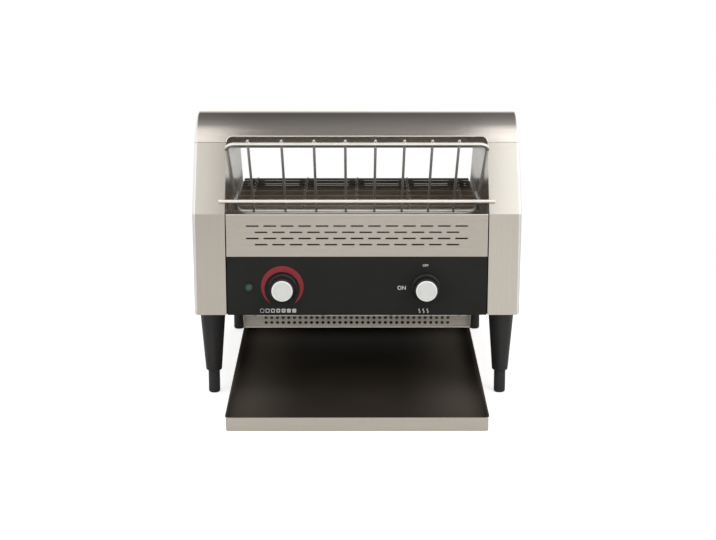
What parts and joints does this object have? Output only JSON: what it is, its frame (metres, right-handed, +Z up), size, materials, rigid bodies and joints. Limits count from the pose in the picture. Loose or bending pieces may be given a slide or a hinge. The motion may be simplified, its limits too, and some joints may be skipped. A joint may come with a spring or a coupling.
{
  "type": "conveyor toaster",
  "caption": "Countertop conveyor toaster: steel casing on legs, open front to back over a linked wire belt, with a sloped feed rack, heating elements, rear chute and slide-out toast tray.",
  "frame": {"origin": "centre of the whole object's footprint, on the counter", "axes": "+X to the right as seen from the front, +Y to the rear, +Z up"},
  "size_m": [0.475, 0.6, 0.411],
  "materials": {
    "casing_steel": "fine brushed stainless steel",
    "inner_steel": "mill finish stainless steel, heat darkened",
    "black_panel": "satin black coating with printed marks",
    "element_sheath": "oxidised sheath, matt dark grey",
    "ceramic": "unglazed steatite",
    "belt_wire": "heat-tinted stainless wire",
    "bronze": "sintered bronze",
    "machined_steel": "turned, zinc plated",
    "rack_rod": "polished rod",
    "black_plastic": "moulded, fine grain",
    "knob_cap": "pale satin disc",
    "control_plastic": "moulded",
    "lamp_lens": "green tinted, unlit",
    "leg_plastic": "black moulded, satin",
    "foot_metal": "black, satin",
    "tray_steel": "stainless pan, dark inside"
  },
  "bodies": {
    "body": {"left_side_panel": "casing_steel", "right_side_panel": "casing_steel", "hood": "casing_steel", "mouth_bar": "casing_steel", "vent_panel": "casing_steel", "control_panel": "black_panel", "rear_panel": "casing_steel", "base_plate": "inner_steel", "left_chamber_wall": "inner_steel", "right_chamber_wall": "inner_steel", "compartment_cover": "inner_steel", "heat_guard": "casing_steel", "toast_chute": "inner_steel", "upper_reflector": "inner_steel", "lower_reflector": "inner_steel", "upper_elements": "element_sheath", "lower_elements": "element_sheath", "element_bushes": "ceramic", "belt_side_guides": "inner_steel", "belt_support_rails": "inner_steel", "belt_cross_bars": "inner_steel", "conveyor_belt": "belt_wire", "shaft_bushes": "bronze", "gear_motor": "machined_steel", "rack_pegs": "rack_rod", "browning_controller": "control_plastic", "heat_switch": "control_plastic", "pilot_lamp": "black_plastic", "pilot_lens": "lamp_lens", "terminal_block": "ceramic", "cable_entry_plate": "casing_steel", "cable_gland": "black_plastic", "base_screws": "machined_steel", "front_screws": "machined_steel", "entry_screws": "machined_steel", "front_left_leg": "leg_plastic", "front_right_leg": "leg_plastic", "rear_left_leg": "leg_plastic", "rear_right_leg": "leg_plastic"},
    "tray": {"toast_tray": "tray_steel"},
    "feed_rack": {"rack_frame": "rack_rod", "rack_wires_group": "rack_rod", "rack_rest_bar": "rack_rod"},
    "browning_control": {"browning_knob": "black_plastic", "browning_knob_cap": "knob_cap", "browning_spindle": "machined_steel"},
    "heat_control": {"heat_knob": "black_plastic", "heat_knob_cap": "knob_cap", "heat_spindle": "machined_steel"},
    "drive_roller": {"drive_shaft": "machined_steel", "drive_rollers": "machined_steel", "drive_shaft_collar": "machined_steel"},
    "idler_roller": {"idler_shaft": "machined_steel", "idler_rollers": "machined_steel", "idler_shaft_collars": "machined_steel"},
    "foot_front_left": {"front_left_foot": "foot_metal"},
    "foot_front_right": {"front_right_foot": "foot_metal"},
    "foot_rear_left": {"rear_left_foot": "foot_metal"},
    "foot_rear_right": {"rear_right_foot": "foot_metal"}
  },
  "joints": [
    {"name": "tray_slide", "type": "slide", "parent": "body", "child": "tray", "axis": [0, -1, 0], "range_m": [-0.085, 0.2]},
    {"name": "rack_lift", "type": "slide", "parent": "body", "child": "feed_rack", "axis": [0, -0.7234, 0.6905], "range_m": [0, 0.08]},
    {"name": "browning_turn", "type": "hinge", "parent": "body", "child": "browning_control", "pos_m": [-0.1083, -0.155, 0.169], "axis": [0, -1, 0], "range_deg": [-135, 135]},
    {"name": "heat_turn", "type": "hinge", "parent": "body", "child": "heat_control", "pos_m": [0.1006, -0.155, 0.169], "axis": [0, -1, 0], "range_deg": [0, 90]},
    {"name": "drive_turn", "type": "hinge", "parent": "body", "child": "drive_roller", "pos_m": [0, -0.085, 0.232], "axis": [-1, 0, 0], "continuous": true},
    {"name": "idler_turn", "type": "hinge", "parent": "body", "child": "idler_roller", "pos_m": [0, 0.23, 0.232], "axis": [-1, 0, 0], "continuous": true},
    {"name": "foot_front_left_screw", "type": "slide", "parent": "body", "child": "foot_front_left", "axis": [0, 0, -1], "range_m": [0, 0.025]},
    {"name": "foot_front_right_screw", "type": "slide", "parent": "body", "child": "foot_front_right", "axis": [0, 0, -1], "range_m": [0, 0.025]},
    {"name": "foot_rear_left_screw", "type": "slide", "parent": "body", "child": "foot_rear_left", "axis": [0, 0, -1], "range_m": [0, 0.025]},
    {"name": "foot_rear_right_screw", "type": "slide", "parent": "body", "child": "foot_rear_right", "axis": [0, 0, -1], "range_m": [0, 0.025]}
  ],
  "couplings": [
    {"joint": "idler_turn", "follows": "drive_turn", "ratio": 1}
  ]
}
